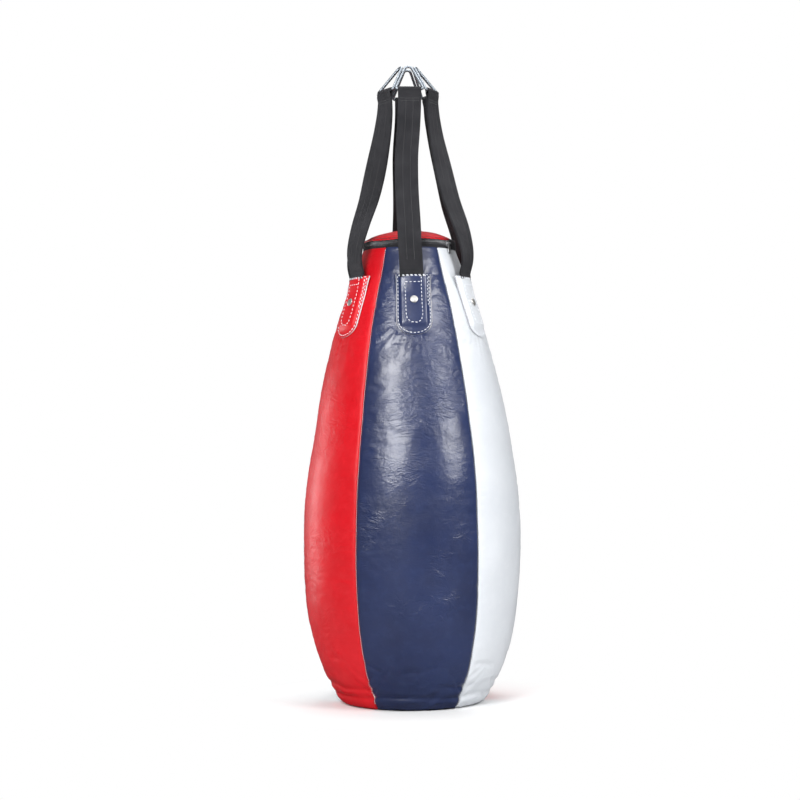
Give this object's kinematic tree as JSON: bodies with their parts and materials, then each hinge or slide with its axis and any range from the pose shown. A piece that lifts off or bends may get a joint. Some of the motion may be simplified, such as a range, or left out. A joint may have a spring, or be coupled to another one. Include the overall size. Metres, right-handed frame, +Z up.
{
  "type": "heavy punching bag",
  "caption": "Teardrop leather heavy punching bag in red, blue and white gores, with a zipped domed lid, webbing hanging straps and triangular hanging rings.",
  "frame": {"origin": "centre of the base disc's underside, on the hanging axis", "axes": "+Z up along the hanging axis, front blue panel facing -Y, +X to the right seen from the front"},
  "size_m": [0.451, 0.451, 1.3218],
  "materials": {
    "leather_blue": "glossy smooth leather, navy blue",
    "leather_red": "glossy smooth leather, bright red",
    "leather_white": "glossy smooth leather, white",
    "lining_cloth": "plain woven canvas",
    "rag_fill": "compressed textile offcuts",
    "webbing": "black ribbed polypropylene webbing",
    "zip_tape": "black woven zip tape",
    "zip_teeth": "black moulded zip teeth",
    "rivet_steel": "nickel-plated steel",
    "zip_metal": "nickel-plated die casting",
    "ring_steel": "bright zinc-plated steel wire"
  },
  "bodies": {
    "bag": {"panel_blue_front": "leather_blue", "panel_white_right_front": "leather_white", "panel_red_right_back": "leather_red", "panel_blue_back": "leather_blue", "panel_white_left_back": "leather_white", "panel_red_left_front": "leather_red", "base_disc": "leather_blue", "lining": "lining_cloth", "filling": "rag_fill", "tab_front": "leather_blue", "tab_right_front": "leather_white", "tab_right_back": "leather_red", "tab_back": "leather_blue", "tab_left_back": "leather_white", "tab_left_front": "leather_red", "strap_end_front": "webbing", "strap_end_right_front": "webbing", "strap_end_right_back": "webbing", "strap_end_back": "webbing", "strap_end_left_back": "webbing", "strap_end_left_front": "webbing", "rivets": "rivet_steel", "rivet_burrs": "rivet_steel", "zip_tape_lower": "zip_tape", "zip_teeth_lower": "zip_teeth", "zip_stops": "zip_metal", "hinge_gusset": "zip_tape", "lid_hinge_flap": "leather_red"},
    "lid": {"lid": "leather_red", "zip_tape_upper": "zip_tape", "zip_teeth_upper": "zip_teeth"},
    "slider": {"zip_slider": "zip_metal"},
    "pull": {"zip_pull": "zip_metal"},
    "strap_front": {"strap_front": "webbing"},
    "ring_front": {"ring_front": "ring_steel"},
    "strap_right_front": {"strap_right_front": "webbing"},
    "ring_right_front": {"ring_right_front": "ring_steel"},
    "strap_right_back": {"strap_right_back": "webbing"},
    "ring_right_back": {"ring_right_back": "ring_steel"},
    "strap_back": {"strap_back": "webbing"},
    "ring_back": {"ring_back": "ring_steel"},
    "strap_left_back": {"strap_left_back": "webbing"},
    "ring_left_back": {"ring_left_back": "ring_steel"},
    "strap_left_front": {"strap_left_front": "webbing"},
    "ring_left_front": {"ring_left_front": "ring_steel"}
  },
  "joints": [
    {"name": "lid_fold", "type": "hinge", "parent": "bag", "child": "lid", "pos_m": [0.07782, 0, 0.965], "axis": [0, 1, 0], "range_deg": [0, 60]},
    {"name": "zip_travel", "type": "hinge", "parent": "bag", "child": "slider", "pos_m": [0, 0, 0.9468], "axis": [0, 0, -1], "range_deg": [0, 280]},
    {"name": "pull_flip", "type": "hinge", "parent": "slider", "child": "pull", "pos_m": [0.07859, -0.06502, 0.9468], "axis": [-0.6374, -0.7705, 0], "range_deg": [0, 140]},
    {"name": "strap_swing_front", "type": "hinge", "parent": "bag", "child": "strap_front", "pos_m": [0, -0.1215, 0.884], "axis": [1, 0, 0], "range_deg": [0, 110]},
    {"name": "ring_pivot_front", "type": "hinge", "parent": "strap_front", "child": "ring_front", "pos_m": [0, -0.056, 1.2655], "axis": [1, 0, 0], "range_deg": [0, 170]},
    {"name": "strap_swing_right_front", "type": "hinge", "parent": "bag", "child": "strap_right_front", "pos_m": [0.10522, -0.06075, 0.884], "axis": [0.5, 0.866, 0], "range_deg": [0, 110]},
    {"name": "ring_pivot_right_front", "type": "hinge", "parent": "strap_right_front", "child": "ring_right_front", "pos_m": [0.0485, -0.028, 1.2655], "axis": [0.5, 0.866, 0], "range_deg": [0, 170]},
    {"name": "strap_swing_right_back", "type": "hinge", "parent": "bag", "child": "strap_right_back", "pos_m": [0.10522, 0.06075, 0.884], "axis": [-0.5, 0.866, 0], "range_deg": [0, 110]},
    {"name": "ring_pivot_right_back", "type": "hinge", "parent": "strap_right_back", "child": "ring_right_back", "pos_m": [0.0485, 0.028, 1.2655], "axis": [-0.5, 0.866, 0], "range_deg": [0, 170]},
    {"name": "strap_swing_back", "type": "hinge", "parent": "bag", "child": "strap_back", "pos_m": [0, 0.1215, 0.884], "axis": [-1, 0, 0], "range_deg": [0, 110]},
    {"name": "ring_pivot_back", "type": "hinge", "parent": "strap_back", "child": "ring_back", "pos_m": [0, 0.056, 1.2655], "axis": [-1, 0, 0], "range_deg": [0, 170]},
    {"name": "strap_swing_left_back", "type": "hinge", "parent": "bag", "child": "strap_left_back", "pos_m": [-0.10522, 0.06075, 0.884], "axis": [-0.5, -0.866, 0], "range_deg": [0, 110]},
    {"name": "ring_pivot_left_back", "type": "hinge", "parent": "strap_left_back", "child": "ring_left_back", "pos_m": [-0.0485, 0.028, 1.2655], "axis": [-0.5, -0.866, 0], "range_deg": [0, 170]},
    {"name": "strap_swing_left_front", "type": "hinge", "parent": "bag", "child": "strap_left_front", "pos_m": [-0.10522, -0.06075, 0.884], "axis": [0.5, -0.866, 0], "range_deg": [0, 110]},
    {"name": "ring_pivot_left_front", "type": "hinge", "parent": "strap_left_front", "child": "ring_left_front", "pos_m": [-0.0485, -0.028, 1.2655], "axis": [0.5, -0.866, 0], "range_deg": [0, 170]}
  ],
  "couplings": [
    {"joint": "zip_travel", "follows": "lid_fold", "ratio": 4.6667}
  ]
}
